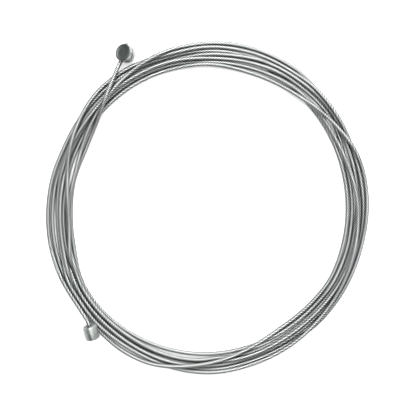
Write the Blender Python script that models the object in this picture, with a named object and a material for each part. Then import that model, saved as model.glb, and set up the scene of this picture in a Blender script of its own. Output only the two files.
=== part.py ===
"""A shift cable as it comes out of its bag: one long wire wound into a loose coil that lies flat.

One end is cast into a short barrel that the wire enters through its side wall.
The other end is cast into a small cylinder that the wire enters through its end face.
Both heads lie just outside the coil, and the wire to the barrel crosses over all the turns.
"""
import math

import bmesh
import bpy
from mathutils import Matrix, Vector

MM = 0.001

# Driving sizes, in metres
CABLE_DIAMETER = 1.2 * MM
COIL_INNER_RADIUS = 40.5 * MM
TURNS_BELOW = 5
TURNS_ABOVE = 2
SEAT_GAP = 0.3 * MM

BARREL_DIAMETER = 5.0 * MM
BARREL_LENGTH = 3.0 * MM
BARREL_EDGE_RADIUS = 0.25 * MM
PARTING_RIDGE_WIDTH = 0.4 * MM
PARTING_RIDGE_HEIGHT = 0.06 * MM
GATE_DIAMETER = 0.8 * MM
GATE_TIP_DIAMETER = 0.6 * MM
GATE_HEIGHT = 0.6 * MM
BARREL_STANDOFF = 2.05 * MM

CYLINDER_DIAMETER = 4.2 * MM
CYLINDER_LENGTH = 4.0 * MM
CYLINDER_EDGE_RADIUS = 0.4 * MM
CYLINDER_TUCK = 0.3 * MM

# Where the heads lie round the coil, and how they lean, in degrees
BARREL_BEARING = 117.9
BARREL_LEAN = 28.0
BARREL_LEAN_BEARING = 163.0
BARREL_EXIT_BEARING = 237.0
BARREL_GATE_BEARING = 90.0
CYLINDER_BEARING = 226.4
CYLINDER_LEAN = 13.0
CYLINDER_AXIS_BEARING = 104.0

# The wire's own points where it isn't coiled: bearing round the coil in degrees, then the distance
# outside the middle of the turns and the height of its centre, both in wire diameters.
# The first point of the one and the last point of the other are at their heads.
BARREL_LEAD_POINTS = [
    (122.4, 4.3, 2.25),
    (124.0, 3.4, 2.5),
    (126.1, 2.5, 2.72),
    (128.6, 1.55, 2.85),
    (131.3, 0.6, 2.9),
    (134.5, -0.45, 2.85),
    (138.0, -1.35, 2.55),
    (142.0, -2.05, 2.1),
    (146.0, -2.65, 1.75),
    (150.5, -3.1, 1.35),
    (155.0, -3.3, 1.0),
]
CYLINDER_LEAD_POINTS = [
    (211.0, 3.3, 0.6),
    (214.0, 3.3, 0.75),
    (217.0, 3.3, 1.1),
    (219.8, 3.32, 1.6),
    (222.2, 3.55, 2.05),
]

# How finely the round shapes are drawn
COIL_SEGMENTS = 64
HEAD_SEGMENTS = 48
GATE_SEGMENTS = 12
EDGE_STEPS = 4
ARC_STEP = 30.0
TUBE_RESOLUTION = 2
TUBE_POINT_SPACING = 2.6 * MM
CURVE_STEPS = 24
SHARP_EDGE_ANGLE = 35.0

# Sizes that follow from the driving ones
WIRE_RADIUS = CABLE_DIAMETER / 2
COIL_OUTER_RADIUS = COIL_INNER_RADIUS + TURNS_BELOW * CABLE_DIAMETER
COIL_MIDDLE_RADIUS = (COIL_INNER_RADIUS + COIL_OUTER_RADIUS) / 2
LAYER_RISE = math.sqrt(3.0) * WIRE_RADIUS


def bearing(degrees, tilt=0.0):
    """Unit vector that points along a bearing, raised above the ground by a tilt."""
    turn = math.radians(degrees)
    rise = math.radians(tilt)
    return Vector((math.cos(turn) * math.cos(rise), math.sin(turn) * math.cos(rise), math.sin(rise)))


def material(name, colour, metallic, roughness):
    """Principled material of one colour."""
    mat = bpy.data.materials.new(name)
    mat.use_nodes = True
    shader = mat.node_tree.nodes["Principled BSDF"]
    shader.inputs["Base Color"].default_value = (*colour, 1.0)
    shader.inputs["Metallic"].default_value = metallic
    shader.inputs["Roughness"].default_value = roughness
    return mat


def arc(centre, radius, start, end, step=ARC_STEP):
    """Points (radius, height) along an arc about a centre, from one angle to another in degrees."""
    count = max(2, math.ceil(abs(end - start) / step))
    points = []
    for index in range(count + 1):
        angle = math.radians(start + (end - start) * index / count)
        points.append((centre[0] + radius * math.cos(angle), centre[1] + radius * math.sin(angle)))
    return points


def new_object(name, mesh, mat, parent):
    """Object of a mesh, shaded smooth between its sharp edges."""
    mesh.materials.append(mat)
    mesh.shade_smooth()
    mesh.set_sharp_from_angle(angle=math.radians(SHARP_EDGE_ANGLE))
    obj = bpy.data.objects.new(name, mesh)
    bpy.context.scene.collection.objects.link(obj)
    obj.parent = parent
    return obj


def turned_mesh(name, profile, segments, closed_profile):
    """Mesh turned about Z from points (radius, height); an open profile starts and ends on the axis."""
    bm = bmesh.new()
    rings = []
    for radius, height in profile:
        if radius == 0.0:
            rings.append([bm.verts.new((0.0, 0.0, height))] * segments)
            continue
        ring = []
        for index in range(segments):
            turn = 2 * math.pi * index / segments
            ring.append(bm.verts.new((radius * math.cos(turn), radius * math.sin(turn), height)))
        rings.append(ring)
    pairs = list(zip(rings, rings[1:]))
    if closed_profile:
        pairs.append((rings[-1], rings[0]))
    for lower, upper in pairs:
        for index in range(segments):
            following = (index + 1) % segments
            corners = [lower[index], lower[following], upper[following], upper[index]]
            bm.faces.new(list(dict.fromkeys(corners)))
    bmesh.ops.recalc_face_normals(bm, faces=bm.faces)
    mesh = bpy.data.meshes.new(name)
    bm.to_mesh(mesh)
    bm.free()
    return mesh


def coil_section():
    """Outline of the wound turns: a lower row laid side by side and an upper row in its grooves.

    Each turn adds the arc of its round section that shows between its neighbours, in degrees.
    """
    lower_row = [COIL_INNER_RADIUS + WIRE_RADIUS + CABLE_DIAMETER * k for k in range(TURNS_BELOW)]
    upper_start = COIL_MIDDLE_RADIUS - (TURNS_ABOVE - 1) * WIRE_RADIUS
    upper_row = [upper_start + CABLE_DIAMETER * k for k in range(TURNS_ABOVE)]
    upper_height = WIRE_RADIUS + LAYER_RISE
    low_outside = [r for r in lower_row if r > upper_row[-1]]
    low_inside = [r for r in lower_row if r < upper_row[0]]

    outline = []
    for r in reversed(low_outside):
        first = -90 if r == lower_row[-1] else 45
        last = 100 if r == low_outside[0] else 135
        outline += arc((r, WIRE_RADIUS), WIRE_RADIUS, first, last)
    for r in reversed(upper_row):
        first = -20 if r == upper_row[-1] else 45
        last = 200 if r == upper_row[0] else 135
        outline += arc((r, upper_height), WIRE_RADIUS, first, last)
    for r in reversed(low_inside):
        first = 80 if r == low_inside[-1] else 45
        last = 270 if r == lower_row[0] else 135
        outline += arc((r, WIRE_RADIUS), WIRE_RADIUS, first, last)
    return outline


def make_coil(mat, parent):
    """The wound turns as one turned ring that lies flat."""
    mesh = turned_mesh("cable_coil", coil_section(), COIL_SEGMENTS, closed_profile=True)
    return new_object("cable_coil", mesh, mat, parent)


def barrel_axis():
    """The barrel's own axis: it leans over from upright."""
    return bearing(BARREL_LEAN_BEARING, 90 - BARREL_LEAN)


def across_barrel(degrees):
    """The way along a bearing, turned to lie square to the barrel's axis."""
    axis = barrel_axis()
    way = bearing(degrees)
    return (way - axis * way.dot(axis)).normalized()


def barrel_exit():
    """The way the wire leaves the barrel."""
    return across_barrel(BARREL_EXIT_BEARING)


def barrel_centre():
    """The barrel rests on the rim of its lower face, beside the coil."""
    lean = math.radians(BARREL_LEAN)
    half_height = BARREL_DIAMETER / 2 * math.sin(lean) + BARREL_LENGTH / 2 * math.cos(lean)
    reach = COIL_OUTER_RADIUS + BARREL_STANDOFF + BARREL_DIAMETER / 2
    return bearing(BARREL_BEARING) * reach + Vector((0.0, 0.0, half_height))


def make_barrel(mat, parent):
    """Cast barrel: round edges, the ridge where the mould parted and the stub of the casting gate."""
    radius = BARREL_DIAMETER / 2
    half = BARREL_LENGTH / 2
    edge = BARREL_EDGE_RADIUS
    step = 90 / EDGE_STEPS
    profile = [(0.0, -half)]
    profile += arc((radius - edge, edge - half), edge, -90, 0, step)
    profile += [
        (radius, -PARTING_RIDGE_WIDTH / 2),
        (radius + PARTING_RIDGE_HEIGHT, -PARTING_RIDGE_WIDTH / 4),
        (radius + PARTING_RIDGE_HEIGHT, PARTING_RIDGE_WIDTH / 4),
        (radius, PARTING_RIDGE_WIDTH / 2),
    ]
    profile += arc((radius - edge, half - edge), edge, 0, 90, step)
    profile += [(0.0, half)]
    mesh = turned_mesh("barrel_head", profile, HEAD_SEGMENTS, closed_profile=False)
    barrel = new_object("barrel_head", mesh, mat, parent)

    axis = barrel_axis()
    side = barrel_exit()
    barrel.matrix_local = frame_matrix(side, axis.cross(side), axis, barrel_centre())

    gate_length = 2 * GATE_HEIGHT
    bm = bmesh.new()
    bmesh.ops.create_cone(
        bm, cap_ends=True, segments=GATE_SEGMENTS, radius1=GATE_DIAMETER / 2,
        radius2=GATE_TIP_DIAMETER / 2, depth=gate_length,
    )
    gate_mesh = bpy.data.meshes.new("gate_stub")
    bm.to_mesh(gate_mesh)
    bm.free()
    gate = bpy.data.objects.new("gate_stub", gate_mesh)
    bpy.context.scene.collection.objects.link(gate)
    gate.parent = parent
    gate.hide_render = True
    gate.display_type = "WIRE"
    outward = across_barrel(BARREL_GATE_BEARING)
    gate_place = barrel_centre() + outward * (radius + GATE_HEIGHT - gate_length / 2)
    gate.matrix_local = frame_matrix(axis, outward.cross(axis), outward, gate_place)
    joining = barrel.modifiers.new("gate", "BOOLEAN")
    joining.operation = "UNION"
    joining.solver = "EXACT"
    joining.object = gate
    return barrel


def frame_matrix(x_axis, y_axis, z_axis, place):
    """Matrix that turns an object to three axes and moves it to a place."""
    matrix = Matrix.Identity(4)
    for row in range(3):
        matrix[row][0] = x_axis[row]
        matrix[row][1] = y_axis[row]
        matrix[row][2] = z_axis[row]
        matrix[row][3] = place[row]
    return matrix


def cylinder_axis():
    """The small cylinder's axis, which points to the end that the wire enters."""
    return bearing(CYLINDER_AXIS_BEARING, CYLINDER_LEAN)


def cylinder_centre():
    """The cylinder rests on the rim of its blind end, with its near side tucked in over the outer turn."""
    lean = math.radians(CYLINDER_LEAN)
    radius = CYLINDER_DIAMETER / 2
    half = CYLINDER_LENGTH / 2
    height = radius * math.cos(lean) + half * math.sin(lean)
    out = bearing(CYLINDER_BEARING)
    along = abs(cylinder_axis().dot(out))
    inward_reach = half * along + radius * math.sqrt(1 - along * along)
    reach = COIL_OUTER_RADIUS - CYLINDER_TUCK + inward_reach
    return out * reach + Vector((0.0, 0.0, height))


def make_cylinder(mat, parent):
    """Cast cylinder with round edges."""
    radius = CYLINDER_DIAMETER / 2
    half = CYLINDER_LENGTH / 2
    edge = CYLINDER_EDGE_RADIUS
    step = 90 / EDGE_STEPS
    profile = [(0.0, -half)]
    profile += arc((radius - edge, edge - half), edge, -90, 0, step)
    profile += arc((radius - edge, half - edge), edge, 0, 90, step)
    profile += [(0.0, half)]
    mesh = turned_mesh("cylinder_head", profile, HEAD_SEGMENTS, closed_profile=False)
    cylinder = new_object("cylinder_head", mesh, mat, parent)
    axis = cylinder_axis()
    side = bearing(CYLINDER_AXIS_BEARING + 90)
    cylinder.matrix_local = frame_matrix(side, axis.cross(side), axis, cylinder_centre())
    return cylinder


def smooth_points(points, spacing):
    """Points evenly spaced along a smooth curve through the given ones."""
    padded = [points[0] * 2 - points[1]] + points + [points[-1] * 2 - points[-2]]
    fine = []
    for before, start, end, after in zip(padded, padded[1:], padded[2:], padded[3:]):
        for index in range(CURVE_STEPS):
            t = index / CURVE_STEPS
            bend = (before * 2 - start * 5 + end * 4 - after) * t * t
            twist = (start * 3 - before - end * 3 + after) * t * t * t
            fine.append((start * 2 + (end - before) * t + bend + twist) / 2)
    fine.append(points[-1])
    walked = [0.0]
    for a, b in zip(fine, fine[1:]):
        walked.append(walked[-1] + (b - a).length)
    count = max(3, round(walked[-1] / spacing))
    spaced = []
    piece = 0
    for step in range(count + 1):
        target = walked[-1] * step / count
        while piece < len(fine) - 2 and walked[piece + 1] < target:
            piece += 1
        share = (target - walked[piece]) / (walked[piece + 1] - walked[piece])
        spaced.append(fine[piece].lerp(fine[piece + 1], share))
    return spaced


def lead_point(degrees, outside, height):
    """Place of a lead's point from its bearing and its distances in wire diameters."""
    radius = COIL_MIDDLE_RADIUS + outside * CABLE_DIAMETER
    return bearing(degrees) * radius + Vector((0.0, 0.0, height * CABLE_DIAMETER))


def make_lead(name, points, mat, parent):
    """Plain tube along a stretch of the wire that isn't coiled."""
    spaced = smooth_points(points, TUBE_POINT_SPACING)
    curve = bpy.data.curves.new(name, "CURVE")
    curve.dimensions = "3D"
    curve.bevel_depth = WIRE_RADIUS
    curve.bevel_resolution = TUBE_RESOLUTION
    curve.use_fill_caps = True
    spline = curve.splines.new("POLY")
    spline.points.add(len(spaced) - 1)
    for point, place in zip(spline.points, spaced):
        point.co = (*place, 1.0)
    curve.materials.append(mat)
    lead = bpy.data.objects.new(name, curve)
    bpy.context.scene.collection.objects.link(lead)
    lead.parent = parent
    return lead


def make_barrel_lead(mat, parent):
    """The wire from the barrel's side, over all the turns and down inside the coil."""
    side = barrel_exit()
    wall = BARREL_DIAMETER / 2 + PARTING_RIDGE_HEIGHT
    first = barrel_centre() + side * (wall + SEAT_GAP)
    second = first + side * WIRE_RADIUS
    points = [first, second] + [lead_point(*place) for place in BARREL_LEAD_POINTS]
    return make_lead("cable_to_barrel", points, mat, parent)


def make_cylinder_lead(mat, parent):
    """The wire from the outside of the coil to the cylinder's end face."""
    axis = cylinder_axis()
    last = cylinder_centre() + axis * (CYLINDER_LENGTH / 2 + SEAT_GAP)
    before = last + axis * WIRE_RADIUS
    points = [lead_point(*place) for place in CYLINDER_LEAD_POINTS] + [before, last]
    return make_lead("cable_to_cylinder", points, mat, parent)


def clear_scene():
    """Start from an empty scene."""
    for obj in list(bpy.data.objects):
        bpy.data.objects.remove(obj, do_unlink=True)


def make_root():
    """Empty that carries all pieces; it sets the middle of the whole object over the origin."""
    axis = barrel_axis()
    flat = math.sqrt(1 - axis.y * axis.y)
    rim_reach = BARREL_DIAMETER / 2 * flat + BARREL_LENGTH / 2 * abs(axis.y)
    gate = across_barrel(BARREL_GATE_BEARING)
    tip_slope = math.sqrt(1 - gate.y * gate.y)
    gate_reach = (BARREL_DIAMETER / 2 + GATE_HEIGHT) * gate.y + GATE_TIP_DIAMETER / 2 * tip_slope
    barrel_top = barrel_centre().y + max(rim_reach, gate_reach)
    overhang = max(0.0, barrel_top - COIL_OUTER_RADIUS)
    root = bpy.data.objects.new("shift_cable", None)
    bpy.context.scene.collection.objects.link(root)
    root.location = (0.0, -overhang / 2, 0.0)
    return root


def main():
    clear_scene()
    steel = material("steel_wire", (0.42, 0.44, 0.44), 1.0, 0.35)
    dark_zinc = material("dark_cast_zinc", (0.16, 0.165, 0.165), 1.0, 0.4)
    bright_zinc = material("bright_cast_zinc", (0.56, 0.56, 0.54), 1.0, 0.3)
    root = make_root()
    make_coil(steel, root)
    make_barrel(dark_zinc, root)
    make_barrel_lead(steel, root)
    make_cylinder(bright_zinc, root)
    make_cylinder_lead(steel, root)
    bpy.context.view_layer.update()


main()
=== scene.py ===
"""A shift cable: a stranded steel wire in a loose coil, with a barrel and a cylinder cast on its ends."""

import math

import bmesh
import bpy
import numpy as np
from mathutils import Matrix, Vector


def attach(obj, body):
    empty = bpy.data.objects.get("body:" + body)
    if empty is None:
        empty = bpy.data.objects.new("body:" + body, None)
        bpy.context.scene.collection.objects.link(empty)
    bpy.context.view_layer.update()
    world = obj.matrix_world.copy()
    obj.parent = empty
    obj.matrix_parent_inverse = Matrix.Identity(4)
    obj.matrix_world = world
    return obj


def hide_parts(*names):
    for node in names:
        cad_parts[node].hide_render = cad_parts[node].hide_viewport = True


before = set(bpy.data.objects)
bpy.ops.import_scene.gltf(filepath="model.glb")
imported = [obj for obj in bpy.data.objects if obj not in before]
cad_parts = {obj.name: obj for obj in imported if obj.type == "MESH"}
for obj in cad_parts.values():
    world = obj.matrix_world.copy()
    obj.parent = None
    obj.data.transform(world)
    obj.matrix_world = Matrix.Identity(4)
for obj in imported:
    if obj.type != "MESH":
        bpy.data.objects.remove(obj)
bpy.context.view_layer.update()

MM = 0.001
# Places nearer to each other than this are the same place
TOLERANCE = 0.001 * MM
# The castings' edges that turn by more than this stay sharp to the eye
SHARP_EDGE_DEGREES = 40.0

# Sizes that the part's solids have, in metres
WIRE_DIAMETER = 1.2 * MM
WIRE_RADIUS = WIRE_DIAMETER / 2
MIDDLE_RADIUS = 43.5 * MM
COIL_SHIFT_Y = -0.864 * MM
BARREL_DIAMETER = 5.0 * MM
BARREL_LENGTH = 3.0 * MM
CYLINDER_DIAMETER = 4.2 * MM
CYLINDER_LENGTH = 4.0 * MM
BARREL_CENTRE = Vector((-23.888, 44.252, 2.498)) * MM
BARREL_AXIS = Vector((-0.448958, 0.13726, 0.882948))
BARREL_EXIT = Vector((-0.490668, -0.863695, -0.115226))
BARREL_GATE = Vector((0.0622, 0.9905, -0.1224))
CYLINDER_CENTRE = Vector((-33.816, -36.374, 2.496)) * MM
CYLINDER_AXIS = Vector((-0.235721, 0.945427, 0.224951))

# The strand's outer wires. A real one has twelve, each under a third of a millimetre, too fine for the
# picture to hold, so six are drawn with the slanting marks about as far apart along the strand as seen.
OUTER_WIRES = 6
LAY_LENGTH = 5.1 * MM
# The section's radii at a valley and at the two points that round off a wire
LOBE_RADII = (0.46 * MM, 0.59 * MM, 0.59 * MM)
# The turns are laid down at each of these steps, and the mesh has a ring of points at each spacing
RING_STEP_DEGREES = 1.0
RING_SPACING = 0.385 * MM

# Where the wire lies on each turn: bearing in degrees, then how far outside the middle of the turns,
# in wire diameters. A turn runs from bearing 90 to 450, but the first one starts at the barrel and the
# last one stops at the cylinder.
TURN_ROUTES = [
    [
        (125.9, 2.45), (129.5, 1.18), (134.5, -0.48), (138, -1.38), (142, -2.13), (146, -2.66),
        (150, -3.05), (155, -3.31), (160, -3.26), (168, -3.00), (180, -2.90), (195, -2.44),
        (210, -0.94), (225, -0.65), (240, -0.92), (255, -1.09), (270, -1.26), (285, -1.55),
        (300, -1.64), (315, -1.67), (330, -1.14), (345, -1.33), (360, -1.38), (375, -1.33),
        (380, -1.09), (385, -0.48), (390, 0.24), (395, 0.72), (400, 0.97), (410, 0.99),
        (420, 0.92), (435, 0.72), (450, 0.53),
    ],
    [
        (105, 0.63), (120, 0.48), (135, 0.24), (142, 0.10), (150, 0.19), (165, 0.24), (180, 0.24),
        (195, 0.68), (210, 1.76), (225, 2.22), (240, 2.25), (255, 2.78), (262, 3.02), (270, 3.09),
        (285, 2.61), (300, 2.10), (315, 1.45), (330, 0.85), (343, 0.39), (352, 0.12), (360, -0.12),
        (368, -0.44), (375, -0.66), (382, -0.92), (390, -1.04), (398, -0.85), (406, -0.53),
        (420, -0.24), (435, -0.48), (450, -0.58),
    ],
    [
        (105, -0.19), (120, -0.12), (135, -0.10), (155, -0.24), (165, -0.41), (180, -0.56),
        (195, -0.05), (210, 1.21), (225, 1.52), (240, 1.81), (255, 2.05), (270, 2.27), (285, 1.81),
        (300, 1.57), (315, 1.98), (330, 1.74), (345, 1.79), (360, 2.03), (368, 2.30), (373, 2.32),
        (379, 2.10), (384, 1.74), (390, 1.01), (394, 0.53), (397.5, 0.12), (401.7, -0.38),
        (405, -0.68), (410, -1.06), (420, -1.40), (432, -1.62), (440, -1.45), (450, -1.06),
    ],
    [
        (105, -1.04), (120, -1.06), (135, -1.21), (150, -1.23), (165, -1.16), (180, -1.21),
        (195, -0.92), (210, 0.68), (225, 0.89), (240, 1.30), (255, 1.69), (270, 1.74), (285, 1.09),
        (300, 0.85), (315, 0.56), (330, 1.21), (345, 1.16), (360, 1.21), (375, 1.35), (382, 1.45),
        (390, 1.81), (398, 2.22), (408, 2.66), (420, 2.88), (432, 3.19), (440, 3.09), (450, 2.97),
    ],
    [
        (105, 2.39), (113, 2.66), (120, 2.97), (130, 2.95), (135, 2.66), (139.6, 2.25),
        (144.2, 1.69), (148.5, 1.14), (154.6, 0.31), (160.8, -0.53), (164.6, -1.09),
        (168.5, -1.72), (172.3, -2.17), (178, -2.51), (185, -2.59), (190, -2.34), (195, -1.69),
        (210, 0.07), (225, 0.29), (240, 0.48), (255, 0.60), (270, 0.60), (285, 0.53), (300, -0.12),
        (315, -0.19), (330, 0.10), (345, 0.12), (360, 0.48), (375, 0.85), (385, 1.21), (392, 1.81),
        (398, 2.04), (405, 2.60), (412, 3.09), (420, 3.70), (432, 4.14), (440, 4.26), (450, 4.01),
    ],
    [
        (95, 3.70), (100, 3.38), (105, 3.09), (110, 2.73), (115, 2.30), (120, 1.67), (125, 1.14),
        (130, 0.46), (135, -0.29), (140, -0.87), (145, -1.33), (150, -1.89), (155, -2.42),
        (161, -2.90), (168, -3.05), (176, -2.59), (185, -1.96), (195, -1.60), (210, -0.53),
        (225, -0.24), (240, -0.05), (255, 0.31), (270, 0.22), (285, -0.12), (300, -0.39),
        (315, -0.60), (330, -0.48), (345, -0.24), (360, -0.17), (375, 0.36), (385, 0.85),
        (392, 1.45), (400, 1.96), (408, 2.13), (420, 2.05), (432, 1.84), (442, 1.38), (450, 1.26),
    ],
    [
        (105, 1.09), (120, 1.04), (132, 1.11), (140, 1.01), (148, 0.80), (155, 0.65), (160, 0.68),
        (165, 0.87), (175, 1.23), (180, 1.40), (195, 1.89), (210, 2.32), (225, 2.85), (232, 3.43),
        (240, 3.77), (245, 3.67), (250, 3.38), (255, 2.78), (262, 1.81), (270, 0.92), (275, 0.24),
        (280, -0.36), (285, -1.09), (290, -1.69), (295, -2.17), (300, -2.54), (305, -2.68),
        (315, -2.56), (330, -2.17), (345, -2.44), (360, -2.46), (375, -2.20), (390, -1.72),
        (398, -1.31), (405, -0.97), (418, 0.00), (426, 0.72), (434, 1.69), (442, 2.30),
        (450, 2.17),
    ],
    [
        (105, 1.76), (120, 2.27), (132, 1.96), (140, 1.89), (150, 1.64), (157, 1.62), (165, 2.08),
        (180, 2.51), (195, 2.90), (210, 2.70), (218, 2.70), (221.9, 3.34), (224.4, 3.91),
    ],
]

# Which turn lies over which: bearing, then a rank that is higher for the turn on top
TURN_RANKS = [
    [
        (118, 9), (146, 9), (152, 4), (158, 1.2), (300, 1.2), (315, 2.2), (370, 2.2), (376, 1.5),
        (398, 1.5), (405, 3.2), (440, 3.2), (450, 2.5),
    ],
    [
        (90, 2.5), (118, 2.5), (135, 2.6), (155, 2.4), (170, 2), (200, 2), (215, 3.4), (290, 3.4),
        (300, 5.5), (376, 5.5), (385, 4.8), (400, 2.6), (420, 2.6), (450, 1.5),
    ],
    [
        (90, 1.5), (120, 1.5), (150, 1.2), (165, 1.6), (175, 2.6), (230, 2.6), (236, 1.1),
        (262, 1.1), (270, 2.9), (300, 2.9), (340, 3), (350, 3.6), (372, 4.2), (380, 6), (410, 6),
        (430, 4), (450, 2),
    ],
    [
        (90, 2), (110, 2), (135, 1.4), (150, 1.6), (165, 1.6), (180, 2), (200, 2), (215, 3.2),
        (270, 3.2), (280, 1.4), (345, 1.4), (360, 3), (375, 3), (395, 3.3), (410, 3), (450, 2),
    ],
    [
        (90, 2), (120, 2.4), (132, 4), (138, 6), (195, 5.5), (205, 1.6), (265, 1.4), (280, 3.2),
        (350, 2.6), (358, 1.4), (392, 1.4), (400, 2.2), (420, 3), (450, 6),
    ],
    [
        (90, 6), (105, 7.5), (150, 7.5), (158, 2.6), (172, 2.2), (185, 1.4), (196, 1.6), (204, 3),
        (270, 3), (280, 1.1), (350, 1.1), (358, 2.6), (375, 2.6), (395, 2.8), (410, 3), (450, 2.6),
    ],
    [
        (90, 1.8), (125, 1.8), (135, 2.4), (155, 2.2), (165, 1.8), (228, 1.6), (240, 4), (248, 7),
        (296, 7), (304, 1.5), (405, 1.3), (435, 1), (450, 1.6),
    ],
    [
        (90, 1.4), (130, 1.4), (165, 2.2), (225, 2.2),
    ],
]

# The part's own points near the heads: bearing, distance outside the middle and height, in diameters
BARREL_LEAD = [(122.4, 4.25, 2.25), (124.0, 3.34, 2.45)]
CYLINDER_LEAD = [(217.0, 2.55, 1.3), (220.3, 2.8, 1.75), (222.6, 3.25, 2.2)]

# How the turns are laid down. Each starts at the height of its rank and sinks a little in every round.
# Pairs that are too close are pushed apart, mostly up and down, and a pair in the wrong order is swapped.
SETTLE_ROUNDS = 1500
SETTLE_WEIGHT = 0.004 * MM
RANK_HEIGHT = 0.35 * MM
PUSHES_IN_ROUND = 2
PUSH_STRENGTH = 1.5
SIDEWAYS_SHARE = 0.2
SWAP_WIDTH = 0.93 * WIRE_DIAMETER
SWAP_LIFT = 0.15 * MM
# In every third round a turn is drawn back a little towards its route
DRAW_BACK_ROUNDS = 3
SHIFT_KEPT = 0.95
# How many times the route, and the laid turns' radii and heights, are evened out
ROUTE_EASING = 6
RADIUS_EASING = 16
HEIGHT_EASING = 8

# Colours of the finishes
STEEL_COLOUR = "#d9dcdb"
# The wire's valleys take this dark colour: drawing grease and painted shade between the outer wires
GREASE_AND_SHADE_COLOUR = "#161818"
# The barrel's side wall is painted lighter than its faces: a painted sheen
BARREL_SIDE_SHEEN_COLOUR = "#dcdedd"
BARREL_FACE_COLOUR = "#7c8180"
CYLINDER_COLOUR = "#d0d4d1"
FLOOR_COLOUR = "#f4f4f4"
# Most of a noise pattern's values lie between these
NOISE_LOW = 0.3
NOISE_HIGH = 0.7

# The picture: its scale, how far its middle lies above the coil's, and the height at which the scale holds
PIXEL = 0.29 * MM
PICTURE_SIDE = 416 * PIXEL
PICTURE_SHIFT = 1.5 * PIXEL
SCALE_HEIGHT = 1.5 * MM
LENS = 100.0
SENSOR_WIDTH = 36.0

FLOOR_SIDE = 3.0
FLOOR_DROP = 0.02 * MM
# The floor glows a little for the camera, and the glow fades this near to the wire, as a painted shadow
FLOOR_GLOW = 0.7
GLOW_REACH = 2.5 * MM

# The way to the soft light's middle, then how bright the room is at each nearness to that way: 0 is
# square to it and 1 is straight at it
SOFT_LIGHT_WAY = (0.033, 0.268, 0.963)
ROOM_LIGHT = [(0.0, 0.015), (0.5, 0.03), (0.7, 0.12), (0.86, 0.5), (1.0, 1.0)]
ROOM_STRENGTH = 3.5
PANEL_PLACE = Vector((0.15, 1.2, 1.35))
PANEL_SIDE = 0.8
PANEL_POWER = 19.0


def smooth_through(x, stations):
    """Values at x on a smooth curve through (position, value) stations that never overshoots them."""
    xs = np.array([s[0] for s in stations], float)
    ys = np.array([s[1] for s in stations], float)
    gaps = np.diff(xs)
    slopes = np.diff(ys) / gaps
    tangents = np.zeros_like(ys)
    tangents[0] = slopes[0]
    tangents[-1] = slopes[-1]
    for i in range(1, len(ys) - 1):
        if slopes[i - 1] * slopes[i] > 0:
            near = 2 * gaps[i] + gaps[i - 1]
            far = gaps[i] + 2 * gaps[i - 1]
            tangents[i] = (near + far) / (near / slopes[i - 1] + far / slopes[i])
    i = np.clip(np.searchsorted(xs, x, side="right") - 1, 0, len(gaps) - 1)
    t = (x - xs[i]) / gaps[i]
    start = (1 + 2 * t) * (1 - t) ** 2 * ys[i] + t * (1 - t) ** 2 * gaps[i] * tangents[i]
    end = t * t * (3 - 2 * t) * ys[i + 1] + t * t * (t - 1) * gaps[i] * tangents[i + 1]
    return start + end


def unwound(turns):
    """One list of (whole bearing, value) from the lists of the turns."""
    stations = []
    for turn, places in enumerate(turns):
        for bearing, value in places:
            whole = bearing + 360.0 * turn
            if not stations or whole > stations[-1][0]:
                stations.append((whole, value))
    return stations


def eased(values, rounds):
    """Values along the wire, evened out between neighbours."""
    for _ in range(rounds):
        values[1:-1] = 0.5 * values[1:-1] + 0.25 * (values[:-2] + values[2:])
    return values


def lead_heights(bearings, lead, turned):
    """Heights at the bearings from a lead's own points, which lie a number of degrees further on."""
    return np.interp(bearings, [p[0] + turned for p in lead], [p[2] * WIRE_DIAMETER for p in lead])


def push_apart(radius, height, rank, slope, first, second):
    """How far pairs of places have to part, up and sideways, and which of them touch."""
    crossing = 1 / np.sqrt(1 + (slope[first] - slope[second]) ** 2)
    across = (radius[second] - radius[first]) * crossing
    above = height[second] - height[first]
    over = np.where(rank[second] >= rank[first], 1.0, -1.0)
    reach = np.sqrt(across * across + above * above)
    in_order = over * above > 0
    hit = (np.abs(across) < WIRE_DIAMETER) & ((reach < WIRE_DIAMETER) | ~in_order)
    swapped = hit & ~in_order & (np.abs(across) < SWAP_WIDTH)
    rise = np.sqrt(np.maximum(WIRE_DIAMETER ** 2 - across * across, 0))
    never_zero = np.maximum(reach, 1e-9)
    push = np.where(hit, np.maximum(WIRE_DIAMETER - reach, 0), 0) / never_zero
    lifts = np.where(swapped, over * np.minimum(rise - over * above, SWAP_LIFT), push * above)
    shifts = np.where(swapped, 0, push * across * SIDEWAYS_SHARE)
    return lifts, shifts, hit


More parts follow.
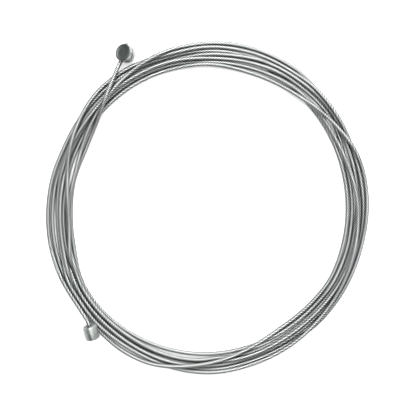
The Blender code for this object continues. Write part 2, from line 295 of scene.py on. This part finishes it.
def settle_turns():
    """Bearings, radii and heights of the wound wire, laid down so that its turns rest on each other."""
    last_turn = 360.0 * (len(TURN_ROUTES) - 1)
    lead_in = [(bearing, out) for bearing, out, _ in BARREL_LEAD]
    lead_out = [(bearing + last_turn, out) for bearing, out, _ in CYLINDER_LEAD]
    route = [s for s in unwound(TURN_ROUTES) if lead_in[-1][0] < s[0] < lead_out[0][0]]
    route = lead_in + route + lead_out
    # The hundredth of a degree keeps the last bearing in
    bearings = np.arange(lead_in[0][0], lead_out[-1][0] + 0.01, RING_STEP_DEGREES)
    wanted = MIDDLE_RADIUS + WIRE_DIAMETER * eased(smooth_through(bearings, route), ROUTE_EASING)
    ranks = unwound(TURN_RANKS)
    rank = np.interp(bearings, [s[0] for s in ranks], [s[1] for s in ranks])

    # Near the heads the wire keeps the heights of the part's own points
    held_in = bearings < lead_in[-1][0]
    held_out = bearings > lead_out[0][0]
    height_in = lead_heights(bearings, BARREL_LEAD, 0)
    height_out = lead_heights(bearings, CYLINDER_LEAD, last_turn)

    count = len(bearings)
    per_turn = round(360 / RING_STEP_DEGREES)
    radius = wanted.copy()
    height = WIRE_RADIUS + RANK_HEIGHT * (rank - 1)
    for settle_round in range(SETTLE_ROUNDS):
        height = eased(height - SETTLE_WEIGHT, 1)
        if settle_round % DRAW_BACK_ROUNDS == 0:
            radius = wanted + SHIFT_KEPT * eased(radius - wanted, 1)
        slope = np.gradient(radius, math.radians(RING_STEP_DEGREES)) / radius
        for _ in range(PUSHES_IN_ROUND):
            lift = np.zeros(count)
            shift = np.zeros(count)
            touching = np.zeros(count)
            for turns_apart in range(1, len(TURN_ROUTES)):
                offset = per_turn * turns_apart
                first = slice(0, count - offset)
                second = slice(offset, count)
                lifts, shifts, hit = push_apart(radius, height, rank, slope, first, second)
                lift[second] += lifts / 2
                lift[first] -= lifts / 2
                shift[second] += shifts / 2
                shift[first] -= shifts / 2
                touching[second] += hit
                touching[first] += hit
            share = PUSH_STRENGTH / np.maximum(touching, 1)
            height = np.maximum(height + lift * share, WIRE_RADIUS)
            radius = radius + shift * share
            height[held_in] = height_in[held_in]
            height[held_out] = height_out[held_out]
    return bearings, eased(radius, RADIUS_EASING), eased(height, HEIGHT_EASING)


def through_points(points, spacing):
    """Points evenly spaced along a smooth curve through the given ones, and the curve's length."""
    points = np.array(points)
    steps_between = 8
    padded = np.vstack([2 * points[0] - points[1], points, 2 * points[-1] - points[-2]])
    fine = []
    for before, start, end, after in zip(padded, padded[1:], padded[2:], padded[3:]):
        for t in np.arange(0, 1, 1 / steps_between):
            bend = (2 * before - 5 * start + 4 * end - after) * t * t
            twist = (3 * start - before - 3 * end + after) * t ** 3
            fine.append((2 * start + (end - before) * t + bend + twist) / 2)
    fine.append(points[-1])
    fine = np.array(fine)
    walked = np.concatenate([[0], np.cumsum(np.linalg.norm(np.diff(fine, axis=0), axis=1))])
    count = round(walked[-1] / spacing)
    even = np.linspace(0, walked[-1], count + 1)
    return np.stack([np.interp(even, walked, fine[:, axis]) for axis in range(3)], axis=1), walked[-1]


def wire_path():
    """The wire's middle line, from the barrel's side wall to the cylinder's end face, and its length."""
    bearings, radius, height = settle_turns()
    turn = np.radians(bearings)
    wound = np.stack([radius * np.cos(turn), radius * np.sin(turn) + COIL_SHIFT_Y, height], axis=1)
    barrel_wall = BARREL_CENTRE + BARREL_EXIT * (BARREL_DIAMETER / 2)
    start = [barrel_wall, barrel_wall + BARREL_EXIT * WIRE_RADIUS]
    cylinder_face = CYLINDER_CENTRE + CYLINDER_AXIS * (CYLINDER_LENGTH / 2)
    end = [cylinder_face + CYLINDER_AXIS * WIRE_RADIUS, cylinder_face]
    return through_points([*map(tuple, start), *wound, *map(tuple, end)], RING_SPACING)


def rings_round(path):
    """Two directions square to the wire at each point of its path, carried along without twist."""
    ahead = np.gradient(path, axis=0)
    ahead /= np.linalg.norm(ahead, axis=1)[:, None]
    side = np.cross(ahead[0], (0, 0, 1.0))
    sides = []
    for way in ahead:
        side = side - way * np.dot(side, way)
        side /= np.linalg.norm(side)
        sides.append(side.copy())
    sides = np.array(sides)
    return sides, np.cross(ahead, sides)


def make_wire(path, length, finish):
    """The strand as one mesh: its section has a lobe for each outer wire and turns once in each lay."""
    sides, ups = rings_round(path)
    ring_points = OUTER_WIRES * len(LOBE_RADII)
    lobe = np.tile(LOBE_RADII, OUTER_WIRES)
    spread = 2 * math.pi * np.arange(ring_points) / ring_points
    walked = np.linspace(0, length, len(path))
    angles = spread[None, :] + 2 * math.pi * walked[:, None] / LAY_LENGTH
    cosines = np.cos(angles) * lobe
    sines = np.sin(angles) * lobe
    rings = path[:, None, :] + cosines[..., None] * sides[:, None, :] + sines[..., None] * ups[:, None, :]

    bm = bmesh.new()
    across_length = bm.loops.layers.uv.new("strand")
    rows = [[bm.verts.new(place) for place in ring] for ring in rings]
    for row in range(len(rows) - 1):
        for point in range(ring_points):
            following = (point + 1) % ring_points
            face = bm.faces.new(
                (rows[row][point], rows[row][following], rows[row + 1][following], rows[row + 1][point])
            )
            face.smooth = True
            v_low = point / len(LOBE_RADII)
            v_high = (point + 1) / len(LOBE_RADII)
            corners = ((row, v_low), (row, v_high), (row + 1, v_high), (row + 1, v_low))
            for loop, (ring, v) in zip(face.loops, corners):
                loop[across_length].uv = (walked[ring] / MM, v)
    bm.faces.new(list(reversed(rows[0])))
    bm.faces.new(rows[-1])
    bmesh.ops.recalc_face_normals(bm, faces=bm.faces)
    mesh = bpy.data.meshes.new("stranded_wire")
    bm.to_mesh(mesh)
    bm.free()
    mesh.materials.append(finish)
    wire = bpy.data.objects.new("stranded_wire", mesh)
    bpy.context.scene.collection.objects.link(wire)
    return wire


def linear(hex_colour):
    """Linear colour of an sRGB hex value."""
    channels = [int(hex_colour[i:i + 2], 16) / 255 for i in (1, 3, 5)]
    return (*[c / 12.92 if c <= 0.04045 else ((c + 0.055) / 1.055) ** 2.4 for c in channels], 1.0)


def add_node(tree, kind, settings=None, links=None, values=None):
    """Adds one shader node with its settings, its links by input name and its input values."""
    node = tree.nodes.new(kind)
    for name, value in (settings or {}).items():
        setattr(node, name, value)
    for name, value in (values or {}).items():
        node.inputs[name].default_value = value
    for name, source in (links or {}).items():
        tree.links.new(source, node.inputs[name])
    return node


def map_range(tree, value, low, high, at_low, at_high):
    """Runs from one end to the other while the value runs from low to high."""
    node = add_node(tree, "ShaderNodeMapRange", links={"Value": value},
                    values={"From Min": low, "From Max": high, "To Min": at_low, "To Max": at_high})
    return node.outputs["Result"]


def multiplied(tree, colour, factor):
    """A colour times a factor, both from other nodes."""
    product = add_node(tree, "ShaderNodeVectorMath", {"operation": "MULTIPLY"}, {0: colour, 1: factor})
    return product.outputs["Vector"]


def along_axis(tree, place, centre, axis):
    """How far a place lies from a centre, along an axis."""
    from_centre = add_node(tree, "ShaderNodeVectorMath", {"operation": "SUBTRACT"}, {0: place}, {1: centre})
    along = add_node(tree, "ShaderNodeVectorMath", {"operation": "DOT_PRODUCT"},
                     {0: from_centre.outputs["Vector"]}, {1: axis})
    return along.outputs["Value"]


def dark_band(tree, colour, along, middle, dark_half, clear_half, darkness):
    """A colour with a dark band across it, whole out to one half width and gone from the other on."""
    off_middle = add_node(tree, "ShaderNodeMath", {"operation": "SUBTRACT"}, {0: along}, {1: middle})
    distance = add_node(tree, "ShaderNodeMath", {"operation": "ABSOLUTE"}, {0: off_middle.outputs[0]})
    tone = map_range(tree, distance.outputs[0], dark_half, clear_half, darkness, 1.0)
    return multiplied(tree, colour, tone)


def new_finish(name, colour, metallic, roughness):
    """A material with its shader set; its patterns are added after."""
    finish = bpy.data.materials.new(name)
    finish.use_nodes = True
    shader = finish.node_tree.nodes["Principled BSDF"]
    shader.inputs["Base Color"].default_value = linear(colour)
    shader.inputs["Metallic"].default_value = metallic
    shader.inputs["Roughness"].default_value = roughness
    return finish, finish.node_tree, shader


def stranded_steel():
    """Drawn stainless steel wire, laid into a strand: the eye sees grey metal, dark between its wires, where
    grease and painted shade lie.
    """
    finish, tree, shader = new_finish(
        "drawn_stainless_steel_strand", STEEL_COLOUR, metallic=1.0, roughness=0.34
    )
    uv = add_node(tree, "ShaderNodeUVMap", {"uv_map": "strand"})
    split = add_node(tree, "ShaderNodeSeparateXYZ", links={"Vector": uv.outputs["UV"]})
    half_wire = 0.5
    lobe = add_node(tree, "ShaderNodeMath", {"operation": "PINGPONG"},
                    {0: split.outputs["Y"]}, {1: half_wire})
    # Valleys between the outer wires are painted dark: drawing grease, and painted shade where the wires meet
    groove = add_node(tree, "ShaderNodeValToRGB", links={"Fac": lobe.outputs[0]})
    grease_and_shade, crown = groove.color_ramp.elements
    grease_and_shade.position = 0.08
    grease_and_shade.color = linear(GREASE_AND_SHADE_COLOUR)
    crown.position = 0.32
    crown.color = linear(STEEL_COLOUR)
    # Drawing leaves faint streaks along each wire, tens of millimetres long and a third of a wire wide
    stretch = add_node(tree, "ShaderNodeMapping", links={"Vector": uv.outputs["UV"]},
                       values={"Scale": (0.06, 3.0, 1.0)})
    streaks = add_node(tree, "ShaderNodeTexNoise", links={"Vector": stretch.outputs["Vector"]},
                       values={"Scale": 1.0, "Detail": 3.0})
    tone = map_range(tree, streaks.outputs["Fac"], NOISE_LOW, NOISE_HIGH, at_low=0.82, at_high=1.08)
    shade = multiplied(tree, groove.outputs["Color"], tone)
    # Painted shade: the colour darkens where turns touch and close each other in
    open_side = add_node(tree, "ShaderNodeAmbientOcclusion", {"samples": 8, "only_local": True},
                         values={"Distance": 0.8 * MM})
    painted_shade = map_range(tree, open_side.outputs["AO"], low=0.45, high=0.8, at_low=0.3, at_high=1.0)
    tree.links.new(multiplied(tree, shade, painted_shade), shader.inputs["Base Color"])
    rough = map_range(tree, streaks.outputs["Fac"], NOISE_LOW, NOISE_HIGH, at_low=0.32, at_high=0.46)
    tree.links.new(rough, shader.inputs["Roughness"])
    return finish


def cast_zinc(name, colour, metallic, roughness, grain, depth):
    """Die-cast zinc alloy: a fine cast skin with soft blotches where the metal chilled on the mould.

    Its thin dull oxide scatters part of the light, so it isn't wholly metallic.
    """
    finish, tree, shader = new_finish(name, colour, metallic, roughness)
    place = add_node(tree, "ShaderNodeTexCoord").outputs["Object"]
    skin = add_node(tree, "ShaderNodeTexNoise", links={"Vector": place},
                    values={"Scale": 1 / grain, "Detail": 4.0, "Roughness": 0.6})
    blotch_size = 1.2 * MM
    blotch = add_node(tree, "ShaderNodeTexNoise", links={"Vector": place},
                      values={"Scale": 1 / blotch_size, "Detail": 3.0})
    tone = map_range(tree, blotch.outputs["Fac"], NOISE_LOW, NOISE_HIGH, at_low=0.75, at_high=1.12)
    toned = add_node(tree, "ShaderNodeVectorMath", {"operation": "MULTIPLY"},
                     {1: tone}, {0: linear(colour)[:3]})
    tree.links.new(toned.outputs["Vector"], shader.inputs["Base Color"])
    bump = add_node(tree, "ShaderNodeBump", links={"Height": skin.outputs["Fac"]},
                    values={"Strength": 0.5, "Distance": depth})
    tree.links.new(bump.outputs["Normal"], shader.inputs["Normal"])
    return finish, tree, shader, place, toned.outputs["Vector"]


def barrel_zinc_with_painted_sheen():
    """The barrel's zinc: both flat faces are dull and dark, and the side wall is painted lighter, a painted
    sheen for the light it catches.

    A dark line is painted along the parting ridge, a little off its middle.
    """
    finish, tree, shader, place, toned = cast_zinc(
        "die_cast_zinc_painted_sheen", BARREL_SIDE_SHEEN_COLOUR,
        metallic=0.9, roughness=0.32, grain=0.12 * MM, depth=0.02 * MM,
    )
    along = along_axis(tree, place, BARREL_CENTRE, BARREL_AXIS)
    # A dark line painted along the parting ridge
    lined = dark_band(
        tree, toned, along, middle=0.05 * MM, dark_half=0.12 * MM, clear_half=0.24 * MM, darkness=0.22
    )
    face = BARREL_LENGTH / 2
    height = add_node(tree, "ShaderNodeMath", {"operation": "ABSOLUTE"}, {0: along})
    on_face = map_range(
        tree, height.outputs[0], low=face - 0.16 * MM, high=face - 0.08 * MM, at_low=0.0, at_high=1.0
    )
    # Painted sheen: the side wall keeps the lighter colour, the faces take the dark one
    # The mix node's colours are its inputs 6 and 7 and its output 2
    mixed = add_node(tree, "ShaderNodeMix", {"data_type": "RGBA"}, {0: on_face, 6: lined},
                     {7: linear(BARREL_FACE_COLOUR)})
    tree.links.new(mixed.outputs[2], shader.inputs["Base Color"])
    return finish


def bright_zinc_with_painted_reflection():
    """The cylinder's zinc: bright, with a painted dark reflection as a dull stripe along it, a little to one
    side of its middle.
    """
    finish, tree, shader, place, toned = cast_zinc(
        "die_cast_zinc_bright", CYLINDER_COLOUR,
        metallic=0.85, roughness=0.5, grain=0.2 * MM, depth=0.02 * MM,
    )
    across = Vector((1, 0, 0)) - CYLINDER_AXIS * CYLINDER_AXIS.x
    sideways = along_axis(tree, place, CYLINDER_CENTRE, across.normalized())
    # A painted dark reflection: a dull stripe along the cylinder
    with_dark_reflection = dark_band(
        tree, toned, sideways, middle=-0.3 * MM, dark_half=0.2 * MM, clear_half=0.6 * MM, darkness=0.42
    )
    tree.links.new(with_dark_reflection, shader.inputs["Base Color"])
    return finish


def axis_matrix(z_axis, x_axis, centre):
    """Matrix that stands an upright piece on its real axis at its real place."""
    z_axis = z_axis.normalized()
    x_axis = (x_axis - z_axis * x_axis.dot(z_axis)).normalized()
    y_axis = z_axis.cross(x_axis)
    return Matrix.Translation(centre) @ Matrix((x_axis, y_axis, z_axis)).transposed().to_4x4()


def deselect_all():
    """Leaves no object selected."""
    bpy.ops.object.select_all(action="DESELECT")


def start_piece(name, radius, depth, segments):
    """A round blank that stands upright at the origin, in edit mode with nothing selected."""
    deselect_all()
    bpy.ops.mesh.primitive_cylinder_add(vertices=segments, radius=radius, depth=depth, end_fill_type="NGON")
    piece = bpy.context.active_object
    piece.name = name
    piece.data.name = name
    bpy.ops.object.mode_set(mode="EDIT")
    bpy.ops.mesh.select_all(action="DESELECT")
    return piece


def pick(piece, wanted, kind="faces"):
    """Selects the faces, edges or vertices that pass a test with their middle, and nothing else."""
    bpy.ops.mesh.select_all(action="DESELECT")
    bpy.ops.mesh.select_mode(type={"faces": "FACE", "edges": "EDGE", "verts": "VERT"}[kind])
    bm = bmesh.from_edit_mesh(piece.data)
    for item in getattr(bm, kind):
        if kind == "faces":
            middle = item.calc_center_median()
        elif kind == "edges":
            middle = (item.verts[0].co + item.verts[1].co) / 2
        else:
            middle = item.co
        item.select_set(bool(wanted(item, middle)))
    bm.select_flush_mode()
    bmesh.update_edit_mesh(piece.data)


def pick_rims(piece, *levels):
    """Selects the edges that lie flat at one of the levels."""
    def flat_at(edge, level):
        return all(abs(vert.co.z - level) < TOLERANCE for vert in edge.verts)

    pick(piece, lambda edge, m: any(flat_at(edge, level) for level in levels), "edges")


def pick_end(piece, level, radius):
    """Selects the flat face that closes the piece at a level; no other face there is nearly as large."""
    least_radius = 0.6 * radius
    least_area = math.pi * least_radius ** 2
    pick(piece, lambda f, m: abs(m.z - level) < TOLERANCE and f.calc_area() > least_area)


def cut_level(height):
    """Cuts the whole piece at a height."""
    bpy.ops.mesh.select_all(action="SELECT")
    bpy.ops.mesh.bisect(plane_co=(0, 0, height), plane_no=(0, 0, 1))


def finish_piece(piece, place, finish):
    """Leaves edit mode, puts the piece at its place in its mesh and gives it its finish."""
    bpy.ops.object.mode_set(mode="OBJECT")
    piece.data.transform(place)
    piece.data.materials.clear()
    piece.data.materials.append(finish)
    deselect_all()
    piece.select_set(True)
    bpy.context.view_layer.objects.active = piece
    bpy.ops.object.shade_smooth_by_angle(angle=math.radians(SHARP_EDGE_DEGREES))
    deselect_all()
    return piece


def make_barrel(finish):
    """The barrel: round edges, a ridge where the mould parted, the stub of the gate and sunk flat faces."""
    radius = BARREL_DIAMETER / 2
    half = BARREL_LENGTH / 2
    barrel = start_piece("barrel_casting", radius, BARREL_LENGTH, segments=72)
    pick_rims(barrel, -half, half)
    bpy.ops.mesh.bevel(offset=0.18 * MM, segments=5, profile=0.5)

    # The ridge round the middle
    ridge_half = 0.2 * MM
    ridge_rise = 0.06 * MM
    gate_half = 0.35 * MM
    for height in (-gate_half, -ridge_half, -ridge_half / 2, ridge_half / 2, ridge_half, gate_half):
        cut_level(height)
    pick(barrel, lambda v, m: abs(m.z) < ridge_half * 0.6 and m.xy.length > radius * 0.9, "verts")
    grow = (radius + ridge_rise) / radius
    bpy.ops.transform.resize(value=(grow, grow, 1))

    # The stub of the casting gate, across from the wire, on the faces within a few degrees of its way
    y_axis = BARREL_AXIS.cross(BARREL_EXIT)
    gate_way = Vector((BARREL_GATE.dot(BARREL_EXIT), BARREL_GATE.dot(y_axis))).normalized()
    gate_foot = radius * 0.989
    gate_rise = 0.5 * MM
    gate_taper = 0.9
    pick(
        barrel,
        lambda f, m: abs(m.z) < gate_half and m.xy.dot(gate_way) > gate_foot and abs(f.normal.z) < 0.8,
    )
    bpy.ops.mesh.extrude_region_move(TRANSFORM_OT_translate={"value": (*(gate_way * gate_rise), 0)})
    gate_tip = (*(gate_way * (radius + gate_rise)), 0)
    bpy.ops.transform.resize(value=(gate_taper, gate_taper, gate_taper), center_override=gate_tip)

    # Each flat face sits a hair below its rim
    for side in (-1, 1):
        pick_end(barrel, side * half, radius)
        bpy.ops.mesh.inset(thickness=0.22 * MM, depth=0)
        bpy.ops.mesh.inset(thickness=0.08 * MM, depth=-0.05 * MM)
        bpy.ops.mesh.inset(thickness=0.9 * MM, depth=0)

    return finish_piece(barrel, axis_matrix(BARREL_AXIS, BARREL_EXIT, BARREL_CENTRE), finish)


def make_cylinder(finish):
    """The cylinder: rounded edges, a shallow mouth round the wire and a faint parting seam on each side."""
    radius = CYLINDER_DIAMETER / 2
    half = CYLINDER_LENGTH / 2
    cylinder = start_piece("cylinder_casting", radius, CYLINDER_LENGTH, segments=64)
    pick_rims(cylinder, -half)
    bpy.ops.mesh.bevel(offset=0.4 * MM, segments=5, profile=0.5)
    pick_rims(cylinder, half)
    bpy.ops.mesh.bevel(offset=0.3 * MM, segments=3, profile=0.4)

    # The mouth, where the casting shrank back from the wire
    pick_end(cylinder, half, radius)
    bpy.ops.mesh.inset(thickness=0.75 * MM, depth=0)
    bpy.ops.mesh.inset(thickness=0.2 * MM, depth=-0.15 * MM)

    # The seam stands out a little on both sides
    seam_half = 0.11 * MM
    seam_grow = 1.02
    pick(cylinder, lambda v, m: abs(m.y) < seam_half and abs(m.x) > radius * 0.9, "verts")
    bpy.ops.transform.resize(value=(seam_grow, 1, 1))
    return finish_piece(cylinder, axis_matrix(CYLINDER_AXIS, Vector((1, 0, 0)), CYLINDER_CENTRE), finish)


def make_camera():
    """Straight above the coil, framed as in the photograph."""
    data = bpy.data.cameras.new("camera")
    data.lens = LENS
    data.sensor_width = SENSOR_WIDTH
    data.clip_start = 0.01
    data.clip_end = 5.0
    camera = bpy.data.objects.new("camera", data)
    bpy.context.scene.collection.objects.link(camera)
    distance = PICTURE_SIDE * LENS / SENSOR_WIDTH
    camera.location = (0.0, COIL_SHIFT_Y + PICTURE_SHIFT, distance + SCALE_HEIGHT)
    bpy.context.scene.camera = camera


def make_floor():
    """A plain white floor that keeps the coil's soft shadow."""
    deselect_all()
    bpy.ops.mesh.primitive_plane_add(size=FLOOR_SIDE, location=(0, 0, -FLOOR_DROP))
    floor = bpy.context.active_object
    floor.name = "floor"
    finish, tree, shader = new_finish("white_paper_floor", FLOOR_COLOUR, metallic=0.0, roughness=0.9)
    shader.inputs["Specular IOR Level"].default_value = 0.0
    ray = add_node(tree, "ShaderNodeLightPath")
    # The glow stays in the open: it fades where the wire closes the floor in, a painted shadow round and
    # under the wire
    open_floor = add_node(tree, "ShaderNodeAmbientOcclusion", {"samples": 8}, values={"Distance": GLOW_REACH})
    glow_with_painted_shadow = add_node(tree, "ShaderNodeMath", {"operation": "MULTIPLY"},
                         {0: open_floor.outputs["AO"]}, {1: FLOOR_GLOW})
    glow = add_node(tree, "ShaderNodeMath", {"operation": "MULTIPLY"},
                    {0: ray.outputs["Is Camera Ray"], 1: glow_with_painted_shadow.outputs[0]})
    shader.inputs["Emission Color"].default_value = (1, 1, 1, 1)
    tree.links.new(glow.outputs[0], shader.inputs["Emission Strength"])
    floor.data.materials.append(finish)


def light_studio():
    """A dark room with one wide soft light a little off overhead, and a panel that gives glints."""
    world = bpy.data.worlds.new("studio")
    bpy.context.scene.world = world
    world.use_nodes = True
    tree = world.node_tree
    background = tree.nodes["Background"]
    way = add_node(tree, "ShaderNodeTexCoord")
    nearness = add_node(tree, "ShaderNodeVectorMath", {"operation": "DOT_PRODUCT"},
                        {0: way.outputs["Generated"]}, {1: Vector(SOFT_LIGHT_WAY).normalized()})
    room = add_node(tree, "ShaderNodeValToRGB", links={"Fac": nearness.outputs["Value"]})
    for _ in range(len(ROOM_LIGHT) - 2):
        room.color_ramp.elements.new(0.5)
    for element, (near, light) in zip(room.color_ramp.elements, ROOM_LIGHT):
        element.position = near
        element.color = (light, light, light, 1)
    tree.links.new(room.outputs["Color"], background.inputs["Color"])
    background.inputs["Strength"].default_value = ROOM_STRENGTH
    # Past the floor's edge the camera sees plain white
    backdrop = add_node(tree, "ShaderNodeBackground", values={"Color": (1, 1, 1, 1), "Strength": 1.0})
    ray = add_node(tree, "ShaderNodeLightPath")
    seen = add_node(tree, "ShaderNodeMixShader", links={"Fac": ray.outputs["Is Camera Ray"]})
    tree.links.new(background.outputs["Background"], seen.inputs[1])
    tree.links.new(backdrop.outputs["Background"], seen.inputs[2])
    tree.links.new(seen.outputs["Shader"], tree.nodes["World Output"].inputs["Surface"])

    data = bpy.data.lights.new("main_panel", "AREA")
    data.size = PANEL_SIDE
    data.energy = PANEL_POWER
    panel = bpy.data.objects.new("main_panel", data)
    bpy.context.scene.collection.objects.link(panel)
    panel.location = PANEL_PLACE
    panel.rotation_euler = (-PANEL_PLACE).to_track_quat("-Z", "Y").to_euler()


bpy.context.scene.view_settings.view_transform = "Standard"
make_camera()
path, wire_length = wire_path()
wire = make_wire(path, wire_length, stranded_steel())
barrel = make_barrel(barrel_zinc_with_painted_sheen())
cylinder = make_cylinder(bright_zinc_with_painted_reflection())

for piece in (wire, barrel, cylinder):
    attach(piece, "root")
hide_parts("cable_coil", "cable_to_barrel", "cable_to_cylinder")
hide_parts("barrel_head")
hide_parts("cylinder_head")
make_floor()
light_studio()
